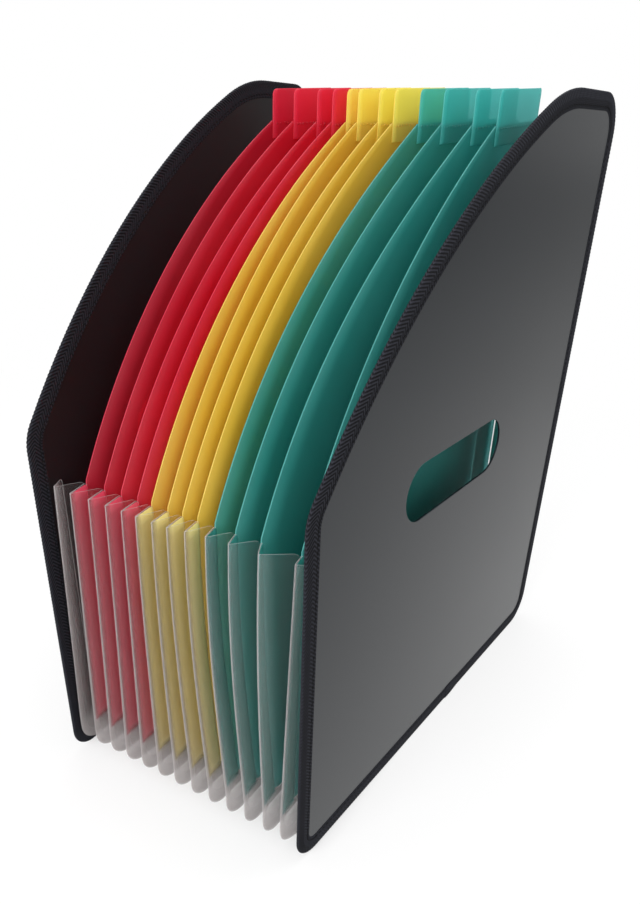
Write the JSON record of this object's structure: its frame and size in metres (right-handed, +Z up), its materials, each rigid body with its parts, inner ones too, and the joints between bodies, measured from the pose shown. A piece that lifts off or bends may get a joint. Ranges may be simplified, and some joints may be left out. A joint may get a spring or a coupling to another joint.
{
  "type": "accordion file folder",
  "caption": "Desktop accordion file: curved cover boards with bound edges and hand slots, coloured dividers with index tabs, and clear pleated pockets that expand and close.",
  "frame": {"origin": "middle of the footprint, on the surface that the file stands on", "axes": "+X the way the file expands, from the left to the right cover; -Y the low pleated front; +Z up"},
  "size_m": [0.1852, 0.2643, 0.32],
  "materials": {
    "cover_board": "satin sheet",
    "edge_binding": "twill tape",
    "divider_red": "translucent sheet",
    "divider_yellow": "translucent sheet",
    "divider_teal": "translucent sheet",
    "gusset_clear": "frosted sheet"
  },
  "bodies": {
    "left_cover": {"left_cover": "cover_board", "left_binding": "edge_binding"},
    "divider_01": {"divider_01": "divider_red", "index_tab_01": "divider_red", "gusset_01": "gusset_clear", "gusset_02": "gusset_clear"},
    "divider_02": {"divider_02": "divider_red", "index_tab_02": "divider_red", "gusset_03": "gusset_clear"},
    "divider_03": {"divider_03": "divider_red", "index_tab_03": "divider_red", "gusset_04": "gusset_clear"},
    "divider_04": {"divider_04": "divider_red", "index_tab_04": "divider_red", "gusset_05": "gusset_clear"},
    "divider_05": {"divider_05": "divider_yellow", "index_tab_05": "divider_yellow", "gusset_06": "gusset_clear"},
    "divider_06": {"divider_06": "divider_yellow", "index_tab_06": "divider_yellow", "gusset_07": "gusset_clear"},
    "divider_07": {"divider_07": "divider_yellow", "index_tab_07": "divider_yellow", "gusset_08": "gusset_clear"},
    "divider_08": {"divider_08": "divider_yellow", "index_tab_08": "divider_yellow", "gusset_09": "gusset_clear"},
    "divider_09": {"divider_09": "divider_teal", "index_tab_09": "divider_teal", "gusset_10": "gusset_clear"},
    "divider_10": {"divider_10": "divider_teal", "index_tab_10": "divider_teal", "gusset_11": "gusset_clear"},
    "divider_11": {"divider_11": "divider_teal", "index_tab_11": "divider_teal", "gusset_12": "gusset_clear"},
    "divider_12": {"divider_12": "divider_teal", "index_tab_12": "divider_teal", "gusset_13": "gusset_clear"},
    "right_cover": {"right_cover": "cover_board", "right_binding": "edge_binding"}
  },
  "joints": [
    {"name": "left_swing", "type": "hinge", "parent": "left_cover", "child": "divider_01", "pos_m": [-0.05805, -0.2409, 0], "axis": [0, 0, 1], "range_deg": [0, 3.84], "deforming": ["gusset_01"]},
    {"name": "expand", "type": "slide", "parent": "divider_01", "child": "divider_12", "axis": [1, 0, 0], "range_m": [-0.0869, 0], "deforming": ["gusset_02", "gusset_03", "gusset_04", "gusset_05", "gusset_06", "gusset_07", "gusset_08", "gusset_09", "gusset_10", "gusset_11", "gusset_12"]},
    {"name": "expand_02", "type": "slide", "parent": "divider_01", "child": "divider_02", "axis": [1, 0, 0], "range_m": [-0.0081, 0]},
    {"name": "expand_03", "type": "slide", "parent": "divider_01", "child": "divider_03", "axis": [1, 0, 0], "range_m": [-0.016, 0]},
    {"name": "expand_04", "type": "slide", "parent": "divider_01", "child": "divider_04", "axis": [1, 0, 0], "range_m": [-0.0239, 0]},
    {"name": "expand_05", "type": "slide", "parent": "divider_01", "child": "divider_05", "axis": [1, 0, 0], "range_m": [-0.0318, 0]},
    {"name": "expand_06", "type": "slide", "parent": "divider_01", "child": "divider_06", "axis": [1, 0, 0], "range_m": [-0.0397, 0]},
    {"name": "expand_07", "type": "slide", "parent": "divider_01", "child": "divider_07", "axis": [1, 0, 0], "range_m": [-0.0476, 0]},
    {"name": "expand_08", "type": "slide", "parent": "divider_01", "child": "divider_08", "axis": [1, 0, 0], "range_m": [-0.0555, 0]},
    {"name": "expand_09", "type": "slide", "parent": "divider_01", "child": "divider_09", "axis": [1, 0, 0], "range_m": [-0.0634, 0]},
    {"name": "expand_10", "type": "slide", "parent": "divider_01", "child": "divider_10", "axis": [1, 0, 0], "range_m": [-0.0713, 0]},
    {"name": "expand_11", "type": "slide", "parent": "divider_01", "child": "divider_11", "axis": [1, 0, 0], "range_m": [-0.0792, 0]},
    {"name": "right_swing", "type": "hinge", "parent": "divider_12", "child": "right_cover", "pos_m": [0.05805, -0.2409, 0], "axis": [0, 0, 1], "range_deg": [0, 3.84], "deforming": ["gusset_13"]}
  ],
  "couplings": [
    {"joint": "expand_02", "follows": "expand", "ratio": 0.090909},
    {"joint": "expand_03", "follows": "expand", "ratio": 0.18182},
    {"joint": "expand_04", "follows": "expand", "ratio": 0.27273},
    {"joint": "expand_05", "follows": "expand", "ratio": 0.36364},
    {"joint": "expand_06", "follows": "expand", "ratio": 0.45454},
    {"joint": "expand_07", "follows": "expand", "ratio": 0.54546},
    {"joint": "expand_08", "follows": "expand", "ratio": 0.63636},
    {"joint": "expand_09", "follows": "expand", "ratio": 0.72727},
    {"joint": "expand_10", "follows": "expand", "ratio": 0.81818},
    {"joint": "expand_11", "follows": "expand", "ratio": 0.90909}
  ]
}
